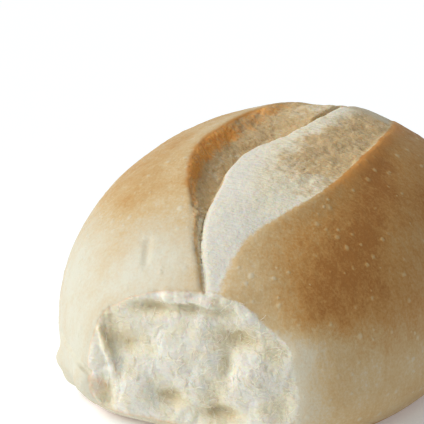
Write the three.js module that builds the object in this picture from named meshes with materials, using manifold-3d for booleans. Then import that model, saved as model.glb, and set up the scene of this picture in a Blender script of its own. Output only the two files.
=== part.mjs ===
// A short white bread roll, baked as one piece. One lengthwise slash opened in the oven, and one end
// is torn where the roll was pulled from its neighbour.
// Millimetres. X runs across the roll, Y from the torn end to the baked end, Z up. The roll rests on Z = 0.
import * as THREE from 'three';
import { mergeVertices } from 'three/addons/utils/BufferGeometryUtils.js';
import Module from 'manifold-3d';

const wasm = await Module();
wasm.setup();

// Dough: an oval dome whose ends are measured from its widest section, at y = 0.
const width = 88;
const crownHeight = 52;
const bakedReach = 57; // from the widest section to the tip of the baked end
const tornReach = 50; // from the widest section to the torn face, on the roll's middle
const widestLevel = 13.5; // height at which the roll is widest
const bellyDepth = 23; // how deep the lower half would bulge if no baking sheet stopped it
const planRoundness = 2.15; // exponent of the oval seen from above: 2 is an ellipse
const sideRoundness = 2.25; // exponent of the dome seen from the side
const tornLift = 2; // how far the underside curls up at the torn end
const tornLiftLength = 12; // over this much of the length

// Slash: a lens-shaped opening, from its front tip at the torn end to its back tip.
const slashOpening = 32; // between the lips where they are furthest apart
const slashMiddle = 3; // offset of the slash from the roll's middle, across it
const slashWidestAt = -6; // where along the roll the lips are furthest apart
const slashFrontReach = 44; // from there to the front tip
const slashBackReach = 54; // from there to the back tip
const slashHook = 5.5; // how far the front tip bends sideways
const slashHookLength = 12;
const crackDepth = 6.5; // the crack between the left wall and the risen crumb
const crackWidth = 3; // over which the risen crumb climbs out of the crack
const crumbDrop = 1.6; // how far the risen crumb stays below the dome
const crackShareFront = 0.2; // where the crack lies between the lips at the front, from left to right
const crackShareBack = 0.5; // and at the back
const crackShift = 25; // it moves over between this far in front of the widest opening and as far behind
const lipRise = 1.3; // how far the baked lips stand above the dome
const lipWidth = 4;

// Torn face: a cut across the roll, turned a little, with hollows and swellings of torn crumb.
const tornTurn = 0.12; // sideways slope of the face
const tornFeatures = [
  { x: -9, z: 26, spread: 6, depth: 3.2 }, // hollow under the upper left rim
  { x: 3, z: 31, spread: 4, depth: 2.4 }, // hollow under the upper rim
  { x: -14, z: 12, spread: 5, depth: 2.2 }, // hollow at the lower left
  { x: 13, z: 21, spread: 4, depth: 2.0 }, // dimple right of the middle
  { x: 4, z: 6, spread: 4, depth: 2.6 }, // hollow at the foot
  { x: -2, z: 19, spread: 8, depth: -2.4 }, // swelling in the middle
  { x: 19, z: 12, spread: 7, depth: -1.8 }, // swelling at the lower right
];

// Mesh fineness.
const segmentsAround = 76;
const segmentsAlong = 42;
const crowding = 0.4; // how much closer the segments stand on the crown than at the sides
const wallColumns = 5; // from the left lip to the crack
const crumbColumns = 9; // from the crack to the right lip
const slashStations = 44;
const tornCell = 2.4;
const cutMargin = 0.8; // how far a cutter reaches past the surface it opens

const { abs, atan2, cos, exp, hypot, max, min, pow, sin } = Math;
const clamp01 = (t) => min(max(t, 0), 1);
const smoothstep = (from, to, t) => {
  const s = clamp01((t - from) / (to - from));
  return s * s * (3 - 2 * s);
};
const bell = (distance, spread) => exp(-((distance / spread) ** 2));

// How wide the slash stands open at y: 1 where it is widest, 0 at its tips and beyond.
function slashOpenness(y) {
  const reach = y < slashWidestAt ? slashFrontReach : slashBackReach;
  return max(0, 1 - ((y - slashWidestAt) / reach) ** 2) ** 1.2;
}

function slashCentre(y) {
  const frontTip = slashWidestAt - slashFrontReach;
  return slashMiddle + slashHook * smoothstep(frontTip + slashHookLength, frontTip, y);
}

// The baked lips on both sides of the slash stand up a little.
function lipHeight(x, y) {
  const openness = slashOpenness(y);
  const fromLip = abs(x - slashCentre(y)) - (openness * slashOpening) / 2;
  return lipRise * smoothstep(0, 0.5, openness) * bell(fromLip, lipWidth);
}

// Height of the smooth dome over (x, y), without lips or slash.
function domeHeight(x, y) {
  const across = pow(abs(x) / (width / 2), planRoundness);
  const along = pow(abs(y) / bakedReach, planRoundness);
  const plan = pow(across + along, sideRoundness / planRoundness);
  return widestLevel + (crownHeight - widestLevel) * pow(max(0, 1 - plan), 1 / sideRoundness);
}

// A point of the unit sphere becomes a point of the dough, before the sheet, slash and tear cut it.
function doughPoint(unit) {
  const around = atan2(unit.z, unit.x);
  const ring = hypot(unit.x, unit.z);
  const ux = ring * cos(around + crowding * cos(around));
  const uz = ring * sin(around + crowding * cos(around));
  const plan = pow(pow(abs(ux), planRoundness) + pow(abs(unit.y), planRoundness), sideRoundness / planRoundness);
  const reach = pow(plan + pow(abs(uz), sideRoundness), -1 / sideRoundness);
  const x = (width / 2) * ux * reach;
  const y = bakedReach * unit.y * reach;
  const halfHeight = uz > 0 ? crownHeight - widestLevel : bellyDepth;
  let z = widestLevel + halfHeight * uz * reach;
  if (uz > 0) z += lipHeight(x, y) * smoothstep(0.15, 0.45, uz);
  const curl = smoothstep(-tornReach + tornLiftLength, -tornReach, y);
  z += tornLift * curl * (1 - smoothstep(0, widestLevel, z));
  return new THREE.Vector3(x, y, z);
}

function moveVertices(geometry, moved) {
  const position = geometry.attributes.position;
  for (let i = 0; i < position.count; i += 1) {
    const point = moved(new THREE.Vector3().fromBufferAttribute(position, i));
    position.setXYZ(i, point.x, point.y, point.z);
  }
  return geometry;
}

// Where the crack lies at y, as a share of the way from the left lip to the right lip.
function crackShare(y) {
  const back = smoothstep(slashWidestAt - crackShift, slashWidestAt + crackShift, y);
  return crackShareFront + (crackShareBack - crackShareFront) * back;
}

// How far the slash's floor lies below the dome, from the left lip (share 0) to the right lip (share 1).
// The left wall runs down to the crack, and the risen crumb climbs out of it and runs on to the right lip.
function slashDrop(share, y) {
  const openness = slashOpenness(y);
  const gap = openness * slashOpening;
  const crack = crackShare(y);
  const depth = crackDepth * smoothstep(0, 0.45, openness);
  const crumb = crumbDrop * smoothstep(0, 0.3, openness);
  const lips = cutMargin + lipRise;
  if (share < crack) return (depth + lips) * pow(share / crack, 1.4) - lips;
  const risen = smoothstep(0, crackWidth, (share - crack) * gap);
  const floor = depth + (crumb - depth) * risen;
  return floor - (lips + floor) * smoothstep(1 - lipWidth / max(gap, lipWidth * 2), 1, share);
}

// The share of the way across the slash at a column of its cutter. One column follows the crack, and the
// columns stand closer beside it and at the lips.
function columnShare(column, y) {
  const crack = crackShare(y);
  if (column <= wallColumns) return (crack * column) / wallColumns;
  return crack + (1 - crack) * smoothstep(0, crumbColumns, column - wallColumns);
}

// The underside of a flat box becomes the slash's floor, and its top stays clear above the crown.
function slashCutter() {
  const columns = wallColumns + crumbColumns;
  const box = new THREE.BoxGeometry(columns, 1, 1, columns, slashStations, 1);
  return moveVertices(box, (corner) => {
    const reach = corner.y < 0 ? slashFrontReach : slashBackReach;
    const y = slashWidestAt + 2 * corner.y * (reach - cutMargin);
    const share = columnShare(Math.round(corner.x + columns / 2), y);
    const gap = slashOpenness(y) * slashOpening;
    const x = slashCentre(y) + (share - 0.5) * gap;
    const top = crownHeight + lipRise + cutMargin * 2;
    return new THREE.Vector3(x, y, corner.z > 0 ? top : domeHeight(x, y) - slashDrop(share, y));
  });
}

// Everything below the baking sheet.
function sheetCutter() {
  const depth = bellyDepth + tornLift;
  const box = new THREE.BoxGeometry(width * 2, (bakedReach + tornReach) * 2, depth);
  return box.translate(0, 0, -depth / 2);
}

function tornRelief(x, z) {
  let y = tornTurn * x;
  for (const feature of tornFeatures) y += feature.depth * bell(hypot(x - feature.x, z - feature.z), feature.spread);
  return y;
}

// Everything in front of the torn face. The back of the block carries the face's relief.
function tearCutter() {
  const columns = Math.round((width * 1.2) / tornCell);
  const rows = Math.round((crownHeight * 1.4) / tornCell);
  const block = new THREE.BoxGeometry(width * 1.2, bakedReach, crownHeight * 1.4, columns, 1, rows);
  block.translate(0, -bakedReach / 2, crownHeight / 2);
  return moveVertices(block, (corner) => {
    const relief = corner.y < -1 ? 0 : tornRelief(corner.x, corner.z);
    return corner.setY(corner.y - tornReach + relief);
  });
}

function toSolid(geometry) {
  geometry.deleteAttribute('normal');
  geometry.deleteAttribute('uv');
  const merged = mergeVertices(geometry, 1e-4);
  const mesh = new wasm.Mesh({
    numProp: 3,
    vertProperties: new Float32Array(merged.attributes.position.array),
    triVerts: new Uint32Array(merged.index.array),
  });
  return new wasm.Manifold(mesh);
}

function toGeometry(solid) {
  const { vertProperties, triVerts } = solid.getMesh();
  const geometry = new THREE.BufferGeometry();
  geometry.setAttribute('position', new THREE.BufferAttribute(vertProperties, 3));
  geometry.setIndex(new THREE.BufferAttribute(triVerts, 1));
  geometry.computeVertexNormals();
  return geometry;
}

// The frame's origin is under the middle of the roll's box, on the surface it rests on.
function centreOnBase(geometry) {
  geometry.computeBoundingBox();
  const middle = geometry.boundingBox.getCenter(new THREE.Vector3());
  return geometry.translate(-middle.x, -middle.y, 0);
}

function breadRoll() {
  const dough = toSolid(moveVertices(new THREE.SphereGeometry(1, segmentsAround, segmentsAlong), doughPoint));
  const baked = dough.subtract(toSolid(sheetCutter())).subtract(toSolid(slashCutter()));
  const torn = baked.subtract(toSolid(tearCutter()));
  const crust = new THREE.MeshStandardMaterial({ color: 0xd9a860, roughness: 0.72, metalness: 0 });
  const mesh = new THREE.Mesh(centreOnBase(toGeometry(torn)), crust);
  mesh.name = 'bread_roll';
  return mesh;
}

const roll = new THREE.Group();
roll.add(breadRoll());

export default roll;
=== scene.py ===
"""A short white bread roll with one wide slash and one torn end, on a plain pale floor."""

import bpy
import numpy as np
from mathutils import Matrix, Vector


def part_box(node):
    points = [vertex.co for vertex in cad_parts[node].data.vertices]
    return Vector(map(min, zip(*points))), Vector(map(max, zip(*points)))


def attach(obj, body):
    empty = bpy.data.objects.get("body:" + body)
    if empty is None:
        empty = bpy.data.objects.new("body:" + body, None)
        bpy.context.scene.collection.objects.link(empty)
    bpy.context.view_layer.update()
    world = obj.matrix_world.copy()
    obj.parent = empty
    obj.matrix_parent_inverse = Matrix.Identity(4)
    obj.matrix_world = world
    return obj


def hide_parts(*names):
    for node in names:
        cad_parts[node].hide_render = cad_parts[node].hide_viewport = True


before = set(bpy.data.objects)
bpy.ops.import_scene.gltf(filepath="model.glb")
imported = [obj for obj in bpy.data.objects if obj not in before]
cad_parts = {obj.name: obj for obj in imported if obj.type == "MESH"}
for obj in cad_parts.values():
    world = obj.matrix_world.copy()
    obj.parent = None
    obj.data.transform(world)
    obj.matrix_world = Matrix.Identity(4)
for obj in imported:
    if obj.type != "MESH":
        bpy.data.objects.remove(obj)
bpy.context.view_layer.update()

import openvdb
from bpy.props import FloatProperty, FloatVectorProperty, IntProperty, PointerProperty
from mathutils import Vector

bl_info = {
    "name": "Bread Roll",
    "version": (1, 0, 0),
    "blender": (4, 5, 0),
    "location": "View3D > Sidebar > Bread Roll",
    "description": "Makes a slashed white bread roll with a torn end, and a plain stage for it",
    "category": "Object",
}

MM = 0.001
ROLL_LOW, ROLL_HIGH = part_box("bread_roll")


# ---------------------------------------------------------------- small tools

def smoothstep(low, high, value):
    t = np.clip((value - low) / (high - low), 0, 1)
    return t * t * (3 - 2 * t)


def bell(distance, spread):
    return np.exp(-((distance / spread) ** 2))


def smooth_max(a, b, radius):
    """The larger of two distances, with the edge between them rounded."""
    overlap = np.maximum(radius - np.abs(a - b), 0) / radius
    return np.maximum(a, b) + overlap * overlap * radius / 4


def smooth_min(a, b, radius):
    return -smooth_max(-a, -b, radius)


def station_curve(*stations, softness=5.0):
    """A smooth curve along the roll through (y, value) stations."""
    ys, values = np.array(stations, float).T
    step = 0.5
    fine = np.arange(ys[0] - softness, ys[-1] + softness + step, step)
    window = np.hanning(int(2 * softness / step) + 1)
    raw = np.interp(fine, ys, values)
    padded = np.pad(raw, len(window) // 2, mode="edge")
    smooth = np.convolve(padded, window / window.sum(), mode="valid")
    return lambda y: np.interp(y, fine, smooth)


def capsule(x, y, z, start, end, radius):
    """Distance to a round bar from start to end."""
    start, end = np.array(start, float), np.array(end, float)
    along = end - start
    px, py, pz = x - start[0], y - start[1], z - start[2]
    t = np.clip((px * along[0] + py * along[1] + pz * along[2]) / (along @ along), 0, 1)
    return np.sqrt((px - t * along[0]) ** 2 + (py - t * along[1]) ** 2 + (pz - t * along[2]) ** 2) - radius


# ---------------------------------------------------------------- the roll's form, in millimetres

# Stations along the roll, each a place along and a value: where the lips and the ridge of the risen crumb
# lie across, how deep the crack, the ridge and the step at the right lip lie below the dome, and how far
# the lips rise above it.
LEFT_LIP = station_curve((-51, 5.5), (-46, 2), (-42, -1), (-34, -5), (-27, -9.5), (-20, -12.5),
                         (-10, -14.3), (0, -13), (18, -10.5), (34, -7), (46, -1), (50, 2))
RIGHT_LIP = station_curve((-51, 9.2), (-42, 9.2), (-38, 10.4), (-35, 11.8), (-32, 13.5),
                          (-25, 16.8), (-20, 18.2), (-12, 19.2), (-3, 19.1), (7, 18.5),
                          (21, 16.3), (34, 11.5), (46, 5), (50, 2))
RIDGE = station_curve((-51, 7.2), (-47.5, 4.5), (-44, 2.3), (-39, 0), (-33, -1.6),
                      (-25, -3.1), (-18, -4.3), (-11, -4.4), (-6, -2.7), (-2, -1.1),
                      (7, 1.4), (15, 2.3), (30, 2.6), (50, 2))
CRACK_DEPTH = station_curve((-52, 0.2), (-46, 0.5), (-40, 1.0), (-34, 2.1), (-28, 4.0),
                            (-18, 6.0), (-4, 5.6), (7, 3.4), (13, 0.7), (18, 0.05), (50, 0))
RIDGE_DEPTH = station_curve((-52, 0.1), (-44, 0.1), (-36, 0.5), (-28, 1.3), (0, 1.3),
                            (14, 0.4), (32, 0), (50, 0))
RIGHT_STEP = station_curve((-52, 0), (-30, 0.1), (-20, 0.5), (-8, 1.1), (12, 0.9), (30, 0.2), (50, 0.1))
LIP_RISE = station_curve((-50, 0), (-36, 0.3), (-24, 1.0), (-4, 0.9), (10, 0.8), (24, 0.4), (44, 0.1))

# Hollows (positive) and swellings (negative) of the torn face: across, up, spread across, spread up, depth.
TORN_RELIEF = [
    (-15, 25, 2.6, 3.6, 1.2),
    (-12, 21, 3.5, 2.4, 1.3),
    (-5, 30, 4.2, 1.5, 1.9),
    (2, 31, 3.5, 1.3, 1.4),
    (10, 31, 3.0, 1.6, 1.2),
    (13, 25.5, 4.2, 2.4, 2.2),
    (10.5, 19, 2.0, 4.5, 1.5),
    (8, 12, 2.0, 4.0, 1.4),
    (-2, 10.5, 3.0, 2.0, 2.4),
    (9, 8, 4.0, 1.8, 2.4),
    (21, 24, 2.6, 2.6, 1.3),
    (22, 12, 2.6, 4.5, 1.2),
    (-16, 9, 1.8, 3.5, 1.5),
    (-9, 23, 6.5, 6.0, 0.6),
    (2, 21, 7.0, 7.0, -0.9),
    (16, 18, 4.5, 4.0, -1.6),
    (-9, 12, 4.0, 4.0, -1.0),
]

# Rolled edges and strands that the tear pulled out: start, end, radius.
TORN_STRANDS = [
    ((-2.0, -52.2, 33.3), (2.5, -51.9, 33.5), 0.9),
    ((2.5, -51.9, 33.5), (7.0, -51.0, 32.9), 0.7),
    ((-17.0, -53.6, 23.4), (-15.8, -53.7, 20.5), 0.5),
    ((-15.8, -53.7, 20.5), (-14.6, -53.5, 17.6), 0.7),
    ((-14.6, -53.5, 17.6), (-13.8, -53.2, 14.6), 0.7),
]

# The left front corner of the underside is tucked in: the outward direction of that plane, how far out it
# lies, and how much further it lies below and above the tuck.
CORNER_TUCK = (-0.53, -0.56, -0.635)
CORNER_REACH = 37.1
CORNER_REACH_BELOW = 2.2
CORNER_REACH_ABOVE = 1.0

# Soft lobes of crust below the crease: middle and radii.
LOBES = [
    ((-20.0, -50.8, 9.6), (4.6, 3.2, 4.4)),
    ((-27.6, -41.3, 7.6), (6.5, 4.4, 4.8)),
]

# The crease over the soft fold at the lower left of the torn face.
FOLD = [(-32.0, -43.2, 15.6), (-28.5, -46.8, 14.8), (-24.5, -50.4, 14.0), (-19.5, -53.4, 13.2)]
FOLD_RADIUS = 0.6

# A short crease in the crust above the torn face: across and along the roll, pressed in by a round bar
# whose middle line lies a little above the dome.
DIMPLE = [(-10.8, -43.4), (-9.4, -47.4)]
DIMPLE_RADIUS = 0.4
DIMPLE_LIFT = 0.3

# How far the underside curls up towards the torn end.
BASE_CURL = 4.0

# How far the crumb that rose highest, behind the middle, stands above the dome.
RISEN_LIFT = 1.3

# How much the risen crumb swells between its ridge and the right lip.
CRUMB_SWELL = 1.0

# How widely each pair of surfaces is rounded where they meet; the tear's rim is rounder on the right.
ROUNDING = {
    "crack": 0.8, "right lip": 1.0, "lips": 0.9, "tear": 0.9, "tear on the right": 5.0, "lobes": 1.6,
    "strands": 1.6, "fold": 0.8, "dimple": 1.4, "corner": 1.8, "base": 1.4,
}
FAR_AWAY = 50.0

# The slash shows only above these heights, the torn face's hollows are about this deep, and the browning
# of the right side starts from this place along the roll.
ON_TOP = (20, 24)
DEEPEST_HOLLOW = 1.8
FRONT = -45


def right_of_tear(x):
    """0 over most of the torn face, 1 at its right, where the rim is rounder and softer."""
    return smoothstep(8, 20, x)


class RollForm:
    """The roll's solid as a field: about the distance to its surface, negative inside."""

    def __init__(self, shape):
        self.half_width = shape.width / 2 / MM
        self.crown = shape.crown_height / MM
        self.widest_level = shape.widest_level / MM
        self.belly = shape.belly_depth / MM
        self.half_length = shape.dome_reach / MM
        self.middle = ROLL_HIGH.y / MM - self.half_length
        self.torn_face = shape.torn_face / MM
        self.torn_turn = shape.torn_turn
        self.plan_roundness = shape.plan_roundness
        self.side_roundness = shape.side_roundness

    def plan(self, x, y):
        """How far out a point lies in the oval seen from above: 1 is on it."""
        u = np.abs(x) / self.half_width
        v = np.abs(y - self.middle) / self.half_length
        total = np.maximum(u ** self.plan_roundness + v ** self.plan_roundness, 1e-9)
        return total ** (1 / self.plan_roundness), u, v

    def lip_lift(self, x, y):
        """How far the lips of the slash and the crumb behind the middle stand above the dome."""
        past_left = x - LEFT_LIP(y)
        left = bell(past_left, np.where(past_left < 0, 4.5, 2.0))
        right = 0.8 * bell(x - RIGHT_LIP(y), 3.0)
        risen_end = RISEN_LIFT * bell(x - 4, 7.0) * bell(y - 27, 12.0)
        return LIP_RISE(y) * (left + right) + risen_end

    def dome(self, x, y, z):
        """About the distance to the dome above the widest level and the belly below it."""
        plan, u, v = self.plan(x, y)
        p, q = self.plan_roundness, self.side_roundness
        lift = self.lip_lift(x, y) * smoothstep(self.widest_level + 5, self.widest_level + 20, z)
        rise = z - lift - self.widest_level
        half_height = np.where(rise > 0, self.crown - self.widest_level, self.belly)
        w = np.abs(rise) / half_height
        reach = np.maximum(plan ** q + w ** q, 1e-9) ** (1 / q)
        slope_plan = plan ** (q - p)
        slope = np.sqrt((slope_plan * u ** (p - 1) / self.half_width) ** 2
                        + (slope_plan * v ** (p - 1) / self.half_length) ** 2
                        + (w ** (q - 1) / half_height) ** 2)
        return (reach - 1) * reach ** (q - 1) / np.maximum(slope, 1e-4)

    def dome_height(self, x, y):
        """How high the dome stands over a point of the floor."""
        plan, _, _ = self.plan(x, y)
        q = self.side_roundness
        top = np.maximum(1 - plan ** q, 0) ** (1 / q)
        return self.widest_level + (self.crown - self.widest_level) * top + self.lip_lift(x, y)

    def slash_drop(self, x, y):
        """How far the slash's floor lies below the dome: left wall, crack, risen crumb, right lip."""
        left, right, ridge = LEFT_LIP(y), RIGHT_LIP(y), RIDGE(y)
        depth, ridge_depth, step = CRACK_DEPTH(y), RIDGE_DEPTH(y), RIGHT_STEP(y)
        wall_width = np.maximum(ridge - 1.2 - left, 0.6)
        t = (x - left) / wall_width
        inner = np.clip(t, 0, 1)
        wall = depth * (1 - (1 - inner) ** 1.5) + np.minimum(t, 0) * wall_width * 1.6
        wall = wall + np.maximum(t - 1, 0) * wall_width * 2.5
        crumb_width = np.maximum(right - ridge, 1.0)
        s = np.clip((x - ridge) / crumb_width, 0, 1)
        swell = ridge_depth + (step - ridge_depth) * s
        swell = swell - CRUMB_SWELL * np.sin(np.pi * s) * smoothstep(3, 12, crumb_width)
        flank = np.maximum(ridge + 0.8 - x, 0)
        swell = swell + 1.1 * flank ** 1.6
        right_wall = (right - x) * 1.3
        floor = smooth_min(wall, swell, ROUNDING["crack"])
        return smooth_min(floor, right_wall, ROUNDING["right lip"])

    def slash_floor(self, x, y):
        return self.dome_height(x, y) - self.slash_drop(x, y)

    def slash(self, x, y, z):
        """About the distance to the slash's floor: its height, less where the floor is steep."""
        floor = self.slash_floor(x, y)
        nudge = 0.2
        slope_x = (self.slash_floor(x + nudge, y) - floor) / nudge
        slope_y = (self.slash_floor(x, y + nudge) - floor) / nudge
        steep = np.sqrt(1 + np.minimum(slope_x, 3) ** 2 + np.minimum(slope_y, 3) ** 2)
        return (z - floor) / steep

    def torn_depth(self, x, z):
        depth = 0 * (x + z)
        for across, up, spread_across, spread_up, deep in TORN_RELIEF:
            depth = depth + deep * bell(x - across, spread_across) * bell(z - up, spread_up)
        return depth

    def torn(self, x, y, z):
        return self.torn_face + self.torn_turn * x + self.torn_depth(x, z) - y

    def curl(self, y):
        """The height of the underside, which curls up at the torn end."""
        return BASE_CURL * smoothstep(-44, -54, y)

    def base(self, x, y, z):
        return self.curl(y) - z

    def strands(self, x, y, z):
        distance = FAR_AWAY + 0 * (x + y + z)
        for start, end, radius in TORN_STRANDS:
            distance = np.minimum(distance, capsule(x, y, z, start, end, radius))
        return distance

    def lobes(self, x, y, z):
        """The soft lobes of crust at the lower left of the torn face."""
        distance = FAR_AWAY + 0 * (x + y + z)
        for middle, radii in LOBES:
            reach = np.sqrt(((x - middle[0]) / radii[0]) ** 2 + ((y - middle[1]) / radii[1]) ** 2
                            + ((z - middle[2]) / radii[2]) ** 2)
            distance = np.minimum(distance, (reach - 1) * min(radii))
        return distance

    def field(self, x, y, z):
        """The dome cut by the slash, the tear and the base, with the lobes, strands and creases."""
        rim = ROUNDING["tear"] + ROUNDING["tear on the right"] * right_of_tear(x)
        solid = smooth_max(self.dome(x, y, z), self.slash(x, y, z), ROUNDING["lips"])
        solid = smooth_max(solid, self.torn(x, y, z), rim)
        solid = smooth_min(solid, self.lobes(x, y, z), ROUNDING["lobes"])
        solid = smooth_min(solid, self.strands(x, y, z), ROUNDING["strands"])
        for start, end in zip(FOLD[:-1], FOLD[1:]):
            solid = smooth_max(solid, -capsule(x, y, z, start, end, FOLD_RADIUS), ROUNDING["fold"])
        start, end = ((across, along, float(self.dome_height(across, along)) + DIMPLE_LIFT)
                      for across, along in DIMPLE)
        solid = smooth_max(solid, -capsule(x, y, z, start, end, DIMPLE_RADIUS), ROUNDING["dimple"])
        reach = CORNER_REACH + CORNER_REACH_BELOW * smoothstep(6.5, 2.5, z)
        reach = reach + CORNER_REACH_ABOVE * smoothstep(9, 13, z)
        tucked = CORNER_TUCK[0] * x + CORNER_TUCK[1] * y + CORNER_TUCK[2] * z - reach
        solid = smooth_max(solid, tucked, ROUNDING["corner"])
        return smooth_max(solid, self.base(x, y, z), ROUNDING["base"])


def roll_surface(form, voxel):
    """Vertices in millimetres and quads of the field's zero surface."""
    margin = 4 * voxel
    low = np.array(ROLL_LOW) / MM - margin
    high = np.array(ROLL_HIGH) / MM + margin
    counts = np.ceil((high - low) / voxel).astype(int)
    xs, ys, zs = (low[i] + voxel * np.arange(counts[i]) for i in range(3))
    values = np.empty(counts, np.float32)
    slab, band = 24, 3.0
    for start in range(0, counts[0], slab):
        x = xs[start:start + slab, None, None]
        values[start:start + slab] = form.field(x, ys[None, :, None], zs[None, None, :])
    grid = openvdb.FloatGrid(band)
    grid.copyFromArray(np.clip(values, -band, band))
    points, quads = grid.convertToQuads(0.0)
    return points * voxel + low, quads


# ---------------------------------------------------------------- marks on the surface, each from 0 to 1

def surface_marks(form, points):
    """What the materials and the relief need to know at each vertex."""
    x, y, z = points.T
    torn, torn_crumb = form.torn(x, y, z), torn_mark(form, x, y, z)
    beyond_dome = torn - form.dome(x, y, z)
    inside_rim = torn_crumb * smoothstep(0.9, 2.4, beyond_dome) * smoothstep(6, 8, z)
    on_rim = smoothstep(-1.4, -0.4, torn) * smoothstep(-0.3, 0.8, beyond_dome)
    rim_hair = on_rim * bell(x - 10, 5) * smoothstep(24, 28, z)
    marks = {
        "torn_crumb": torn_crumb,
        "slash_crumb": slash_mark(x, y, z) * (1 - torn_crumb),
        "crumb_toast": crumb_toast(x, y, z),
        "fringe": lip_fringe(x, y, z) * (1 - torn_crumb),
        "strand_place": inside_rim * (0.5 + 0.5 * smoothstep(3, 9, x)) + rim_hair,
        # Painted shade: how deep the torn face's hollows are, which darkens the colour of their crumb.
        "hollow_shade": form.torn_depth(x, z) / DEEPEST_HOLLOW * torn_crumb,
        # The crust's browning, with a little painted light outside the left lip and painted shade along the
        # torn rim.
        "toast": crust_toast_and_shading(form, x, y, z),
        "lip": lip_crest(x, y, z),
    }
    return {name: np.clip(value, 0, 1) for name, value in marks.items()}


def torn_mark(form, x, y, z):
    """The torn face, with a softer edge on the right, without the lobes of crust at its lower left."""
    torn, dome = form.torn(x, y, z), form.dome(x, y, z)
    rim = 0.4 + 1.2 * right_of_tear(x)
    lobe = smoothstep(0.8, -0.4, form.lobes(x, y, z)) * smoothstep(8, 11, z)
    above_base = smoothstep(0.0, 2.0, z - form.curl(y))
    return smoothstep(-rim, rim, torn - dome) * smoothstep(-1.6, -0.6, torn) * (1 - lobe) * above_base


def slash_mark(x, y, z):
    """The slash's crumb between its lips, which ends softly at the front right and at the back."""
    soft = 0.7 + 1.3 * smoothstep(-18, -34, y)
    past_left_lip = smoothstep(-0.7, 0.7, x - LEFT_LIP(y))
    before_right_lip = smoothstep(0.2 - soft, 0.4 + soft, RIGHT_LIP(y) - x)
    end = slash_end(x, y)
    along = smoothstep(-51, -49, y) * smoothstep(end + 9, end - 3, y)
    return past_left_lip * before_right_lip * along * smoothstep(*ON_TOP, z)


def slash_end(x, y):
    """Where the slash's crumb ends at the back: sooner on the risen crumb than on the left wall."""
    return 21 + 7 * smoothstep(0.5, -0.8, x - RIDGE(y))


def lip_fringe(x, y, z):
    """The crumbly front part of the left lip."""
    along = smoothstep(-50, -46, y) * smoothstep(-22, -30, y)
    return bell(x - LEFT_LIP(y) - 0.8, 1.4) * along * smoothstep(*ON_TOP, z)


def crumb_toast(x, y, z):
    """How dry and toasted the slash's crumb is: the left wall most, the front of the risen crumb least."""
    left, right, ridge = LEFT_LIP(y), RIGHT_LIP(y), RIDGE(y)
    across = np.clip((x - ridge) / np.maximum(right - ridge, 1), 0, 1)
    swell = 0.42 * smoothstep(0.05, 0.6, across) * smoothstep(-40, -14, y)
    swell = swell + 0.26 * smoothstep(-26, 2, y) - 0.15 * smoothstep(14, 28, y)
    down = np.clip((x - left) / np.maximum(ridge - left, 1), 0, 1)
    wall = 0.60 + (0.40 - 0.14 * smoothstep(-10, 6, y)) * smoothstep(0.45, 0.15, down)
    wall = wall * (0.85 + 0.15 * smoothstep(-40, -31, y)) - 0.14 * smoothstep(10, 28, y)
    wall = wall - 0.12 * lip_fringe(x, y, z)
    beyond_ridge = smoothstep(-0.8, 0.5, x - ridge)
    return swell * beyond_ridge + wall * (1 - beyond_ridge)


def crust_toast_and_shading(form, x, y, z):
    """How brown the crust is: pale low down and near the tear, darkest on the right shoulder; painted light
    makes the slope outside the left lip paler, and painted shade darkens a line along the torn rim on the
    left.
    """
    left_side = 0.06 + 0.33 * smoothstep(28, 43, z) * smoothstep(-51, -26, y)
    from_front = x - RIGHT_LIP(y) + 0.45 * (y - FRONT)
    shoulder = 0.52 * smoothstep(2, 22, from_front) - 0.18 * smoothstep(21, 31, from_front)
    right_low = 0.13 + 0.16 * smoothstep(-49, -42, y) + 0.13 * smoothstep(-44, -34, y) * smoothstep(16, 22, z)
    upper = smoothstep(-6, 4, z - 30.0 + 0.25 * np.clip(y - FRONT, 0, 40))
    right_side = right_low + (0.27 + shoulder - right_low) * upper
    side = smoothstep(-4, 8, x)
    toast = left_side * (1 - side) + right_side * side
    # Painted light: the slope just outside the left lip is made paler, to lift the shade that its tilt away
    # from the key light gives.
    toast = toast - 0.15 * bell(x - LEFT_LIP(y) + 3.0, 3.2) * smoothstep(-22, -6, y)
    between_lips = smoothstep(-2, 2, x - LEFT_LIP(y)) * smoothstep(-1, 2, RIGHT_LIP(y) - x)
    toast = toast + (0.15 - toast) * between_lips * smoothstep(-5, 5, y - slash_end(x, y))
    # Painted shade: a faint darker line just behind the torn rim, on the left.
    rim_painted_shade = 0.06 * bell(form.torn(x, y, z) + 1.2, 1.1) * smoothstep(-8, -13, x)
    underside = 0.75 * smoothstep(3.0, 1.5, z) * smoothstep(-50, -44, y)
    return np.maximum(toast + rim_painted_shade, underside)


def lip_crest(x, y, z):
    """How close a point of the crust lies to a baked lip of the slash; the right lip is baked less."""
    past_left = x - LEFT_LIP(y) - 0.6
    left_lip = bell(past_left, np.where(past_left > 0, 3.0, 1.5))
    left_lip = left_lip * smoothstep(-36, -28, y) * smoothstep(34, 6, y)
    past_right = x - RIGHT_LIP(y) - 0.4
    right_lip = bell(past_right, np.where(past_right > 0, 3.0, 1.2)) * smoothstep(-27, -12, y)
    return np.maximum(left_lip, 0.65 * right_lip) * smoothstep(15, 30, z)


def mesh_from(name, points, faces, marks):
    mesh = bpy.data.meshes.new(name)
    mesh.from_pydata((points * MM).tolist(), [], faces.tolist())
    for mark, values in marks.items():
        mesh.attributes.new(mark, "FLOAT", "POINT").data.foreach_set("value", values.astype(np.float32))
    mesh.update()
    return mesh


# ---------------------------------------------------------------- node tools

def add_node(tree, kind, inputs=(), settings=None, **named):
    """A node with its settings and inputs; an input is a value or another node's output."""
    node = tree.nodes.new(kind)
    for name, value in (settings or {}).items():
        setattr(node, name, value)
    sockets = list(enumerate(inputs)) + [(name.replace("_", " "), value) for name, value in named.items()]
    for key, value in sockets:
        if value is None:
            continue
        if isinstance(value, bpy.types.NodeSocket):
            tree.links.new(value, node.inputs[key])
        else:
            node.inputs[key].default_value = value
    return node


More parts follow.
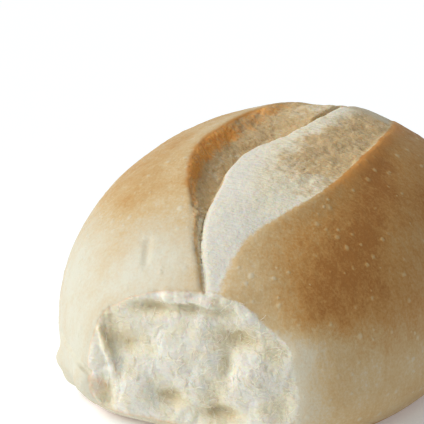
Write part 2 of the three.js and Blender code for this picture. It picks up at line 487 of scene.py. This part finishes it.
def calc(tree, operation, *values):
    return add_node(tree, "ShaderNodeMath", values, {"operation": operation}).outputs[0]


def vector_calc(tree, operation, *values):
    return add_node(tree, "ShaderNodeVectorMath", values, {"operation": operation}).outputs[0]


def times(tree, vector, factor):
    node = add_node(tree, "ShaderNodeVectorMath", [vector], {"operation": "SCALE"})
    if isinstance(factor, bpy.types.NodeSocket):
        tree.links.new(factor, node.inputs["Scale"])
    else:
        node.inputs["Scale"].default_value = factor
    return node.outputs[0]


def ramp_value(tree, value, low, high, out_low=0.0, out_high=1.0):
    """Smoothly from out_low to out_high while value goes from low to high."""
    node = add_node(tree, "ShaderNodeMapRange", [value, low, high, out_low, out_high],
                    {"interpolation_type": "SMOOTHSTEP"})
    return node.outputs[0]


def noise(tree, place, size, detail=2.0, roughness=0.5, distortion=0.0):
    """Noise from 0 to 1 whose features are about as large as size, in metres."""
    return add_node(tree, "ShaderNodeTexNoise", [place], Scale=1 / size, Detail=detail,
                    Roughness=roughness, Distortion=distortion).outputs["Fac"]


def wander(tree, place, size):
    """A smoothly varying offset of up to half a unit each way, whose waves are about as large as size."""
    wave = add_node(tree, "ShaderNodeTexNoise", [place], Scale=1 / size, Detail=1.0).outputs["Color"]
    return vector_calc(tree, "SUBTRACT", wave, (0.5, 0.5, 0.5))


def centred(tree, pattern, middle=0.5):
    return calc(tree, "SUBTRACT", pattern, middle)


def weighted(tree, *terms):
    """The sum of values, each times its weight."""
    total = None
    for value, weight in terms:
        part = calc(tree, "MULTIPLY", value, weight)
        total = part if total is None else calc(tree, "ADD", total, part)
    return total


def mix_value(tree, factor, first, second):
    return add_node(tree, "ShaderNodeMix", [factor, None, first, second]).outputs[0]


def mix_colour(tree, factor, first, second):
    sockets = [factor, None, None, None, None, None, first, second]
    return add_node(tree, "ShaderNodeMix", sockets, {"data_type": "RGBA"}).outputs[2]


# ---------------------------------------------------------------- relief, as geometry nodes

# Sizes of the relief's patterns, and how far the torn crumb's pattern is pushed about, in metres.
LUMP_SIZE = 0.024
WRINKLE_SIZE = 0.0016
TEAR_CLUMP_SIZE = 0.0065
TEAR_FIBRE_SIZE = 0.0014
TEAR_WARP_SIZE = 0.006
TEAR_WARP_REACH = 0.004

# Blisters: how far apart their cells are, how their outlines waver, all in metres, which share of the cells
# stays bare, and the largest radius as a share of the spacing.
BLISTER_SPACING = 0.0023
BLISTER_WAVER_SIZE = 0.0008
BLISTER_WAVER_REACH = 0.0006
BLISTER_BARE_SHARE = 0.20
BLISTER_RADIUS = 0.40

# How much of the torn crumb's relief the smooth risen crumb has.
SMOOTH_CRUMB_SHARE = 0.36

# A strand: its points, the sides of its section, how it is turned and sized at random, and how it waves.
STRAND_POINTS = 6
STRAND_SIDES = 3
STRAND_TURN = ((-0.20, -0.10, 0.0), (0.20, 0.25, 6.283))
STRAND_SIZES = (0.4, 1.4)
STRAND_WAVE = 0.0018
STRAND_SWAY = (1.0, 0.3, 1.0)


def new_geometry_tree(name, sockets):
    """A geometry nodes tree with these named inputs, its input node and its output node."""
    tree = bpy.data.node_groups.new(name, "GeometryNodeTree")
    tree.interface.new_socket("Geometry", in_out="INPUT", socket_type="NodeSocketGeometry")
    for label, kind, default in sockets:
        socket = tree.interface.new_socket(label, in_out="INPUT", socket_type=kind)
        if default is not None:
            socket.default_value = default
    tree.interface.new_socket("Geometry", in_out="OUTPUT", socket_type="NodeSocketGeometry")
    return tree, tree.nodes.new("NodeGroupInput"), tree.nodes.new("NodeGroupOutput")


def named_float(tree, name):
    node = add_node(tree, "GeometryNodeInputNamedAttribute", settings={"data_type": "FLOAT"}, Name=name)
    return node.outputs[0]


def relief_tree():
    """Moves the roll's surface in and out: lumps and blisters on the crust, torn fibres on the crumb."""
    tree, given, result = new_geometry_tree("Bread relief", (
        ("Crust Lumps", "NodeSocketFloat", 0.0),
        ("Crust Wrinkles", "NodeSocketFloat", 0.0),
        ("Blister Height", "NodeSocketFloat", 0.0),
        ("Crumb Lumps", "NodeSocketFloat", 0.0),
        ("Crumb Fibres", "NodeSocketFloat", 0.0),
        ("Material", "NodeSocketMaterial", None),
    ))
    place = add_node(tree, "GeometryNodeInputPosition").outputs[0]
    torn = named_float(tree, "torn_crumb")
    crumb = calc(tree, "MINIMUM", calc(tree, "ADD", torn, named_float(tree, "slash_crumb")), 1.0)
    crust = calc(tree, "SUBTRACT", 1.0, crumb)

    lumps = centred(tree, noise(tree, place, LUMP_SIZE))
    wrinkle_place = vector_calc(tree, "MULTIPLY", place, (1.0, 1.0, 0.3))
    wrinkles = centred(tree, noise(tree, wrinkle_place, WRINKLE_SIZE, 2.0, 0.6))
    crust_move = weighted(tree, (lumps, given.outputs["Crust Lumps"]),
                          (wrinkles, given.outputs["Crust Wrinkles"]),
                          (blister_height(tree, place), given.outputs["Blister Height"]))

    warp = times(tree, wander(tree, place, TEAR_WARP_SIZE), TEAR_WARP_REACH)
    warped = vector_calc(tree, "ADD", place, warp)
    clumps = centred(tree, noise(tree, warped, TEAR_CLUMP_SIZE, 3.0), 0.52)
    stretched = vector_calc(tree, "MULTIPLY", warped, (1.0, 1.0, 0.4))
    valleys = calc(tree, "ABSOLUTE", centred(tree, noise(tree, stretched, TEAR_FIBRE_SIZE, 2.0, 0.6)))
    fibres = calc(tree, "SUBTRACT", 0.10, valleys)
    crumb_move = weighted(tree, (clumps, given.outputs["Crumb Lumps"]),
                          (fibres, given.outputs["Crumb Fibres"]))
    dried = ramp_value(tree, named_float(tree, "crumb_toast"), 0.1, 0.6)
    rough = calc(tree, "ADD", calc(tree, "MAXIMUM", torn, dried), named_float(tree, "fringe"))
    share = calc(tree, "ADD", SMOOTH_CRUMB_SHARE, calc(tree, "MULTIPLY", rough, 1 - SMOOTH_CRUMB_SHARE))
    crumb_move = calc(tree, "MULTIPLY", crumb_move, share)

    height = add_node(tree, "ShaderNodeSeparateXYZ", [place]).outputs[2]
    above_base = ramp_value(tree, height, 0.0005, 0.004)
    move = calc(tree, "MULTIPLY", weighted(tree, (crust, crust_move), (crumb, crumb_move)), above_base)
    normal = add_node(tree, "GeometryNodeInputNormal").outputs[0]
    moved = add_node(tree, "GeometryNodeSetPosition", [given.outputs["Geometry"]],
                     Offset=times(tree, normal, move))
    finish_tree(tree, moved.outputs[0], given.outputs["Material"], result)
    return tree


def strand_tree():
    """Scatters short curly strands of crumb over the torn face."""
    tree, given, result = new_geometry_tree("Crumb strands", (
        ("Density", "NodeSocketFloat", 0.0),
        ("Length", "NodeSocketFloat", 0.0),
        ("Radius", "NodeSocketFloat", 0.0),
        ("Curl", "NodeSocketFloat", 0.0),
        ("Seed", "NodeSocketInt", 0),
        ("Material", "NodeSocketMaterial", None),
    ))
    density = calc(tree, "MULTIPLY", named_float(tree, "strand_place"), given.outputs["Density"])
    scatter = add_node(tree, "GeometryNodeDistributePointsOnFaces", [given.outputs["Geometry"]],
                       Density=density, Seed=given.outputs["Seed"])
    half = calc(tree, "MULTIPLY", given.outputs["Length"], 0.5)
    start = add_node(tree, "ShaderNodeCombineXYZ", [calc(tree, "MULTIPLY", half, -1.0)]).outputs[0]
    end = add_node(tree, "ShaderNodeCombineXYZ", [half]).outputs[0]
    line = add_node(tree, "GeometryNodeCurvePrimitiveLine", Start=start, End=end)
    strand = add_node(tree, "GeometryNodeResampleCurve", Curve=line.outputs[0], Count=STRAND_POINTS)
    turn = add_node(tree, "FunctionNodeRandomValue", STRAND_TURN, {"data_type": "FLOAT_VECTOR"})
    turned = add_node(tree, "FunctionNodeRotateRotation", [scatter.outputs["Rotation"], turn.outputs[0]],
                      {"rotation_space": "LOCAL"})
    size = add_node(tree, "FunctionNodeRandomValue", [None, None, *STRAND_SIZES], {"data_type": "FLOAT"})
    placed = add_node(tree, "GeometryNodeInstanceOnPoints", [scatter.outputs["Points"]],
                      Instance=strand.outputs[0], Rotation=turned.outputs[0], Scale=size.outputs[1])
    real = add_node(tree, "GeometryNodeRealizeInstances", [placed.outputs[0]])
    place = add_node(tree, "GeometryNodeInputPosition").outputs[0]
    sway = vector_calc(tree, "MULTIPLY", wander(tree, place, STRAND_WAVE), STRAND_SWAY)
    curled = add_node(tree, "GeometryNodeSetPosition", [real.outputs[0]],
                      Offset=times(tree, sway, given.outputs["Curl"]))
    ring = add_node(tree, "GeometryNodeCurvePrimitiveCircle", Resolution=STRAND_SIDES,
                    Radius=given.outputs["Radius"])
    tubes = add_node(tree, "GeometryNodeCurveToMesh", [curled.outputs[0], ring.outputs[0]], Fill_Caps=True)
    finish_tree(tree, tubes.outputs[0], given.outputs["Material"], result)
    return tree


def finish_tree(tree, geometry, material, result):
    """Ends a tree with real geometry that carries the material."""
    real = add_node(tree, "GeometryNodeRealizeInstances", [geometry])
    finished = add_node(tree, "GeometryNodeSetMaterial", [real.outputs[0]], Material=material)
    tree.links.new(finished.outputs[0], result.inputs[0])


def blister_height(tree, place):
    """Small round blisters, 0 to 1 high, on some of the cells of a scattered pattern."""
    waver = times(tree, wander(tree, place, BLISTER_WAVER_SIZE), BLISTER_WAVER_REACH)
    place = vector_calc(tree, "ADD", place, waver)
    cells = add_node(tree, "ShaderNodeTexVoronoi", [place], Scale=1 / BLISTER_SPACING, Randomness=1.0)
    pick = add_node(tree, "ShaderNodeSeparateXYZ", [cells.outputs["Color"]])
    size = ramp_value(tree, pick.outputs[0], BLISTER_BARE_SHARE, 1.0, 0.0, BLISTER_RADIUS)
    distance = calc(tree, "DIVIDE", cells.outputs["Distance"], calc(tree, "MAXIMUM", size, 0.001))
    return ramp_value(tree, distance, 1.0, 0.3)


def set_inputs(modifier, **values):
    """Sets a geometry nodes modifier's inputs by their sockets' identifiers."""
    for item in modifier.node_group.interface.items_tree:
        key = item.name.replace(" ", "_").lower()
        if item.item_type == "SOCKET" and item.in_out == "INPUT" and key in values:
            modifier[item.identifier] = values[key]


def plain_mesh(source, name):
    """The evaluated object as a plain mesh object at the origin; the source goes."""
    bpy.context.view_layer.update()
    evaluated = source.evaluated_get(bpy.context.evaluated_depsgraph_get())
    mesh = bpy.data.meshes.new_from_object(evaluated)
    bpy.data.objects.remove(source)
    piece = bpy.data.objects.new(name, mesh)
    bpy.context.scene.collection.objects.link(piece)
    mesh.name = name
    mesh.polygons.foreach_set("use_smooth", np.ones(len(mesh.polygons), bool))
    return piece


# ---------------------------------------------------------------- materials

# Sizes of the patterns in the bread's colour and bump, in metres.
RAGGED_SIZE = 0.0016
PATCH_SIZE = 0.016
GRAIN_SIZE = 0.0018
SPECKLE_SIZE = 0.0050
PORE_SIZE = 0.0006
CLUMP_SIZE = 0.004
FIBRE_SIZE = 0.0007
FINE_SIZE = 0.0009

CRUMB_ROUGHNESS = 0.95
BUMP_HEIGHT = 0.0003
BUMP_STRENGTH = 0.7
CRUST_TRANSLUCENCY = 0.12
CRUMB_TRANSLUCENCY = 0.7


def shader_attribute(tree, name):
    return add_node(tree, "ShaderNodeAttribute", settings={"attribute_name": name}).outputs["Fac"]


def colour_ramp(tree, value, stops):
    """The colour at a value from 0 to 1, between stops that are each a place and a colour."""
    ramp = add_node(tree, "ShaderNodeValToRGB", [value])
    elements = ramp.color_ramp.elements
    while len(elements) < len(stops):
        elements.new(0.5)
    for element, (place, colour) in zip(elements, stops):
        element.position = place
        element.color = (*colour, 1.0)
    return ramp.outputs[0]


def new_material(name):
    """A node material, its tree, its shader and the place on the object."""
    material = bpy.data.materials.new(name)
    material.use_nodes = True
    tree = material.node_tree
    place = add_node(tree, "ShaderNodeTexCoord").outputs["Object"]
    return material, tree, tree.nodes["Principled BSDF"], place


def bread_material(look):
    """Crust that browns as its marks say, with some painted light and shade, and crumb that is white where
    torn, with painted shade in its hollows, and tan where it dried.
    """
    material, tree, shader, place = new_material("baked bread")
    torn = shader_attribute(tree, "torn_crumb")
    ragged = centred(tree, noise(tree, place, RAGGED_SIZE, 3.0, 0.65))
    crumb = weighted(tree, (torn, 1.0), (shader_attribute(tree, "slash_crumb"), 1.0), (ragged, 0.9))
    crumb = ramp_value(tree, crumb, 0.3, 0.7)

    upright = vector_calc(tree, "MULTIPLY", place, (1.0, 1.0, 0.35))
    grain = centred(tree, noise(tree, upright, GRAIN_SIZE, 3.0, 0.6))
    speckle = centred(tree, noise(tree, upright, SPECKLE_SIZE, 3.0, 0.6))
    pores = centred(tree, noise(tree, place, PORE_SIZE, 3.0, 0.65))
    patches = centred(tree, noise(tree, place, PATCH_SIZE, 3.0, 0.55))
    blister = blister_height(tree, place)
    # The crust's browning, with a little painted light outside the left lip and painted shade along the torn
    # rim.
    baked_and_shading = shader_attribute(tree, "toast")
    mottle = weighted(tree, (grain, 0.28), (speckle, 0.26), (pores, 0.55))
    toast = weighted(tree, (baked_and_shading, 1.0), (patches, look.patchiness),
                     (mottle, ramp_value(tree, baked_and_shading, 0.1, 0.45, 0.5, 1.0)))
    toast = weighted(tree, (toast, 1.0), (calc(tree, "MULTIPLY", blister, toast), -0.45))
    crust = colour_ramp(tree, toast, (
        (0.0, look.pale_crust), (0.28, look.straw_crust), (0.45, look.golden_crust),
        (0.62, look.orange_crust), (0.80, look.brown_crust)))
    lip = weighted(tree, (shader_attribute(tree, "lip"), 1.0), (speckle, 0.8))
    crust = mix_colour(tree, ramp_value(tree, lip, 0.2, 0.85), crust, (*look.lip_crust, 1))

    along_x = vector_calc(tree, "MULTIPLY", place, (0.22, 1.0, 1.0))
    clump = centred(tree, noise(tree, place, CLUMP_SIZE, 4.0, 0.6))
    fibre = centred(tree, noise(tree, along_x, FIBRE_SIZE, 3.0, 0.6, 0.6))
    fine = centred(tree, noise(tree, place, FINE_SIZE, 3.0, 0.6))
    # Painted shade: the torn crumb is darker between the clumps of a noise pattern and deeper in its hollows.
    shade_between_clumps = ramp_value(tree, clump, 0.06, -0.14, 0.0, 0.3)
    depth = weighted(tree, (shader_attribute(tree, "hollow_shade"), 0.8), (shade_between_clumps, 1.0), (fine, 0.25))
    torn_colour_and_shade = colour_ramp(tree, depth, (
        (0.0, look.white_crumb), (0.35, look.cream_crumb), (1.0, look.hollow_shade_crumb)))
    dried = weighted(tree, (shader_attribute(tree, "crumb_toast"), 1.0),
                     (clump, 0.6), (fine, 0.3), (fibre, 0.35))
    slash_colour = colour_ramp(tree, dried, (
        (0.0, look.risen_crumb), (0.30, look.cream_crumb), (0.57, look.tan_crumb), (0.72, look.tan_crumb),
        (1.0, look.toasted_crumb)))
    crumb_colour = mix_colour(tree, torn, slash_colour, torn_colour_and_shade)
    tree.links.new(mix_colour(tree, crumb, crust, crumb_colour), shader.inputs["Base Color"])

    crust_roughness = calc(tree, "ADD", look.crust_roughness, calc(tree, "MULTIPLY", grain, 0.25))
    tree.links.new(mix_value(tree, crumb, crust_roughness, CRUMB_ROUGHNESS), shader.inputs["Roughness"])
    crust_height = weighted(tree, (grain, 0.5), (pores, 0.35), (blister, 0.25))
    crumb_height = weighted(tree, (fine, 1.0), (pores, 0.6), (fibre, 1.6))
    height = mix_value(tree, crumb, crust_height, crumb_height)
    bump = add_node(tree, "ShaderNodeBump", Strength=BUMP_STRENGTH, Distance=BUMP_HEIGHT, Height=height)
    tree.links.new(bump.outputs[0], shader.inputs["Normal"])
    translucency = ramp_value(tree, crumb, 0.0, 1.0, CRUST_TRANSLUCENCY, CRUMB_TRANSLUCENCY)
    tree.links.new(translucency, shader.inputs["Subsurface Weight"])
    shader.inputs["Subsurface Radius"].default_value = (1.0, 0.6, 0.35)
    shader.inputs["Subsurface Scale"].default_value = 0.0015
    shader.inputs["Specular IOR Level"].default_value = 0.22
    return material


def strand_material(look):
    """Crumb so thin that light passes through it, which a faint light of its own stands for."""
    material, tree, shader, place = new_material("crumb strand")
    tint = ramp_value(tree, noise(tree, place, 0.003, 2.0, 0.6), 0.35, 0.65)
    crumb = mix_colour(tree, tint, (*look.cream_crumb, 1), (*look.white_crumb, 1))
    tree.links.new(crumb, shader.inputs["Base Color"])
    tree.links.new(crumb, shader.inputs["Emission Color"])
    shader.inputs["Emission Strength"].default_value = look.strand_glow
    shader.inputs["Roughness"].default_value = 0.9
    shader.inputs["Specular IOR Level"].default_value = 0.25
    return material


# ---------------------------------------------------------------- settings a user would change

def metres(label, about, default):
    return FloatProperty(name=label, description=about, default=default, unit="LENGTH", precision=4)


def number(label, about, default):
    return FloatProperty(name=label, description=about, default=default)


def colour(label, about, default):
    return FloatVectorProperty(name=label, description=about, default=default, subtype="COLOR", min=0, max=1)


class BREAD_PG_shape(bpy.types.PropertyGroup):
    width: metres("Width", "Across the widest section", 0.0872)
    crown_height: metres("Crown Height", "From the base to the top of the dome", 0.0516)
    widest_level: metres("Widest Level", "Height at which the roll is widest", 0.0133)
    belly_depth: metres("Belly Depth", "How deep the lower half would bulge without a base", 0.0228)
    dome_reach: metres("Dome Reach", "From the widest section to the tip of the baked end", 0.0568)
    torn_face: metres("Torn Face", "Where the torn face crosses the middle line", -0.0513)
    torn_turn: number("Torn Turn", "Sideways slope of the torn face", 0.12)
    plan_roundness: number("Plan Roundness", "Exponent of the oval seen from above", 2.15)
    side_roundness: number("Side Roundness", "Exponent of the dome seen from the side", 2.25)
    voxel: metres("Fineness", "Cell size that the surface is made with", 0.00042)
    triangle_limit: IntProperty(name="Triangle Limit", description="The finished roll has at most this many",
                                default=188000)


class BREAD_PG_relief(bpy.types.PropertyGroup):
    crust_lumps: metres("Crust Lumps", "Height of the broad unevenness of the crust", 0.0010)
    crust_wrinkles: metres("Crust Wrinkles", "Height of the fine wrinkles of the crust", 0.0002)
    blister_height: metres("Blister Height", "Height of the small blisters", 0.00008)
    crumb_lumps: metres("Crumb Lumps", "Height of the clumps of torn crumb", 0.0022)
    crumb_fibres: metres("Crumb Fibres", "Height of the torn crumb's fibres", 0.0013)


class BREAD_PG_strands(bpy.types.PropertyGroup):
    density: number("Density", "Strands for each square metre of crumb", 600000)
    length: metres("Length", "Length of a strand before it curls", 0.0036)
    radius: metres("Radius", "Half the thickness of a strand", 0.00005)
    curl: metres("Curl", "How far a strand bends out of line", 0.0020)
    seed: IntProperty(name="Seed", description="Picks the places of the strands", default=7)


class BREAD_PG_look(bpy.types.PropertyGroup):
    pale_crust: colour("Pale Crust", "Least baked crust", (0.625, 0.60, 0.48))
    straw_crust: colour("Straw Crust", "Lightly baked crust", (0.58, 0.43, 0.23))
    golden_crust: colour("Golden Crust", "Crust baked golden", (0.53, 0.335, 0.14))
    orange_crust: colour("Orange Crust", "Crust between golden and brown", (0.49, 0.26, 0.08))
    brown_crust: colour("Brown Crust", "Well baked crust", (0.385, 0.168, 0.042))
    lip_crust: colour("Lip Crust", "Crust on the raised lips of the slash", (0.60, 0.275, 0.070))
    white_crumb: colour("White Crumb", "Freshly torn crumb", (0.74, 0.715, 0.625))
    risen_crumb: colour("Risen Crumb", "Crumb that rose out of the slash", (0.67, 0.65, 0.57))
    # Painted shade: the colour of the torn crumb deepest in its hollows.
    hollow_shade_crumb: colour("Hollow Crumb", "Crumb deep in the torn face's hollows", (0.66, 0.56, 0.36))
    cream_crumb: colour("Cream Crumb", "Crumb between fibres", (0.75, 0.695, 0.53))
    tan_crumb: colour("Tan Crumb", "Crumb that dried in the slash", (0.58, 0.425, 0.23))
    toasted_crumb: colour("Toasted Crumb", "Crumb dried and toasted in the slash", (0.76, 0.35, 0.09))
    patchiness: number("Patchiness", "How unevenly the crust has browned", 0.46)
    crust_roughness: number("Crust Roughness", "How matt the crust is", 0.56)
    strand_glow: number("Strand Glow", "Light that comes through the thin strands", 0.22)


class BREAD_PG_stage(bpy.types.PropertyGroup):
    floor_size: metres("Floor Size", "Edge length of the floor", 6.0)
    floor_colour: colour("Floor Colour", "The plain floor", (0.92, 0.96, 1.0))
    floor_glow: number("Floor Glow", "Light that the floor gives off itself", 0.18)
    key_strength: number("Key Strength", "Strength of the soft main light", 2.9)
    key_softness: FloatProperty(name="Key Softness", description="Angle that the main light spans",
                                default=0.9, subtype="ANGLE")
    key_direction: FloatVectorProperty(name="Key Direction", description="Where the main light shines to",
                                       default=(0.62, 0.45, -0.64), subtype="DIRECTION")
    sky_strength: number("Sky Strength", "Strength of the even light all round", 0.30)
    camera_place: FloatVectorProperty(name="Camera Place", description="Where the camera stands",
                                      default=(0.24695, -0.53723, 0.28404), unit="LENGTH")
    camera_aim: FloatVectorProperty(name="Camera Aim", description="The point at the middle of the view",
                                    default=(-0.01706, -0.00053, 0.02958), unit="LENGTH")
    lens: number("Lens", "Focal length in millimetres", 250.3)


# ---------------------------------------------------------------- operators

class BREAD_OT_roll(bpy.types.Operator):
    """Makes the bread roll: one solid of crust and crumb"""
    bl_idname = "bread.roll"
    bl_label = "Make Bread Roll"

    def execute(self, context):
        shape, relief, look = context.scene.bread_shape, context.scene.bread_relief, context.scene.bread_look
        form = RollForm(shape)
        voxel = 1.0 * shape.voxel / MM
        points, quads = roll_surface(form, voxel)
        mesh = mesh_from("roll", points, quads, surface_marks(form, points))
        source = bpy.data.objects.new("roll source", mesh)
        context.scene.collection.objects.link(source)
        modifier = source.modifiers.new("Relief", "NODES")
        modifier.node_group = relief_tree()
        set_inputs(modifier, crust_lumps=relief.crust_lumps, crust_wrinkles=relief.crust_wrinkles,
                   blister_height=relief.blister_height, crumb_lumps=relief.crumb_lumps,
                   crumb_fibres=relief.crumb_fibres, material=bread_material(look))
        thinner = source.modifiers.new("Thinner", "DECIMATE")
        thinner.ratio = min(1.0, shape.triangle_limit / (2 * len(quads)))
        roll = plain_mesh(source, "baked_roll")
        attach(roll, "root")
        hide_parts("bread_roll")
        return {"FINISHED"}


class BREAD_OT_strands(bpy.types.Operator):
    """Makes the loose strands on the roll's crumb"""
    bl_idname = "bread.strands"
    bl_label = "Make Crumb Strands"

    def execute(self, context):
        strands, roll = context.scene.bread_strands, bpy.data.objects.get("baked_roll")
        if roll is None:
            raise RuntimeError("make the bread roll before its strands")
        source = bpy.data.objects.new("strand source", roll.data.copy())
        context.scene.collection.objects.link(source)
        modifier = source.modifiers.new("Strands", "NODES")
        modifier.node_group = strand_tree()
        set_inputs(modifier, density=strands.density, length=strands.length, radius=strands.radius,
                   curl=strands.curl, seed=strands.seed, material=strand_material(context.scene.bread_look))
        piece = plain_mesh(source, "crumb_strands")
        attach(piece, "root")
        return {"FINISHED"}


class BREAD_OT_stage(bpy.types.Operator):
    """Makes the floor, the lights and the camera"""
    bl_idname = "bread.stage"
    bl_label = "Make Stage"

    def execute(self, context):
        stage, scene = context.scene.bread_stage, context.scene
        half = stage.floor_size / 2
        mesh = bpy.data.meshes.new("floor")
        corners = [(-half, -half, 0), (half, -half, 0), (half, half, 0), (-half, half, 0)]
        mesh.from_pydata(corners, [], [(0, 1, 2, 3)])
        paint = bpy.data.materials.new("plain floor")
        paint.use_nodes = True
        shader = paint.node_tree.nodes["Principled BSDF"]
        shader.inputs["Base Color"].default_value = (*stage.floor_colour, 1)
        shader.inputs["Roughness"].default_value = 0.9
        shader.inputs["Specular IOR Level"].default_value = 0.1
        shader.inputs["Emission Color"].default_value = (1, 1, 1, 1)
        shader.inputs["Emission Strength"].default_value = stage.floor_glow
        mesh.materials.append(paint)
        floor = bpy.data.objects.new("floor", mesh)
        scene.collection.objects.link(floor)

        world = bpy.data.worlds.new("soft sky")
        world.use_nodes = True
        background = world.node_tree.nodes["Background"]
        background.inputs["Color"].default_value = (1.0, 1.0, 1.0, 1)
        background.inputs["Strength"].default_value = stage.sky_strength
        scene.world = world
        key = bpy.data.lights.new("key", "SUN")
        key.energy = stage.key_strength
        key.angle = stage.key_softness
        lamp = bpy.data.objects.new("key", key)
        lamp.rotation_mode = "QUATERNION"
        lamp.rotation_quaternion = Vector(stage.key_direction).to_track_quat("-Z", "Y")
        scene.collection.objects.link(lamp)

        lens = bpy.data.cameras.new("camera")
        lens.lens = stage.lens
        lens.clip_start, lens.clip_end = 0.01, 20
        camera = bpy.data.objects.new("camera", lens)
        place, aim = Vector(stage.camera_place), Vector(stage.camera_aim)
        camera.location = place
        camera.rotation_euler = (aim - place).to_track_quat("-Z", "Y").to_euler()
        scene.collection.objects.link(camera)
        scene.camera = camera
        scene.view_settings.view_transform = "Standard"
        return {"FINISHED"}


class BREAD_PT_panel(bpy.types.Panel):
    bl_idname = "BREAD_PT_panel"
    bl_label = "Bread Roll"
    bl_space_type = "VIEW_3D"
    bl_region_type = "UI"
    bl_category = "Bread Roll"

    def draw(self, context):
        for name, operator in (("bread_shape", None), ("bread_relief", None), ("bread_look", "bread.roll"),
                               ("bread_strands", "bread.strands"), ("bread_stage", "bread.stage")):
            group = getattr(context.scene, name)
            box = self.layout.box()
            for prop in group.bl_rna.properties:
                if prop.identifier not in {"rna_type", "name"}:
                    box.prop(group, prop.identifier)
            if operator:
                box.operator(operator)


GROUPS = {
    "bread_shape": BREAD_PG_shape,
    "bread_relief": BREAD_PG_relief,
    "bread_strands": BREAD_PG_strands,
    "bread_look": BREAD_PG_look,
    "bread_stage": BREAD_PG_stage,
}
CLASSES = (*GROUPS.values(), BREAD_OT_roll, BREAD_OT_strands, BREAD_OT_stage, BREAD_PT_panel)


def register():
    for kind in CLASSES:
        bpy.utils.register_class(kind)
    for name, group in GROUPS.items():
        setattr(bpy.types.Scene, name, PointerProperty(type=group))


def unregister():
    for name in GROUPS:
        delattr(bpy.types.Scene, name)
    for kind in reversed(CLASSES):
        bpy.utils.unregister_class(kind)


def main():
    register()
    bpy.ops.bread.stage()
    bpy.ops.bread.roll()
    bpy.ops.bread.strands()


if __name__ == "__main__":
    main()
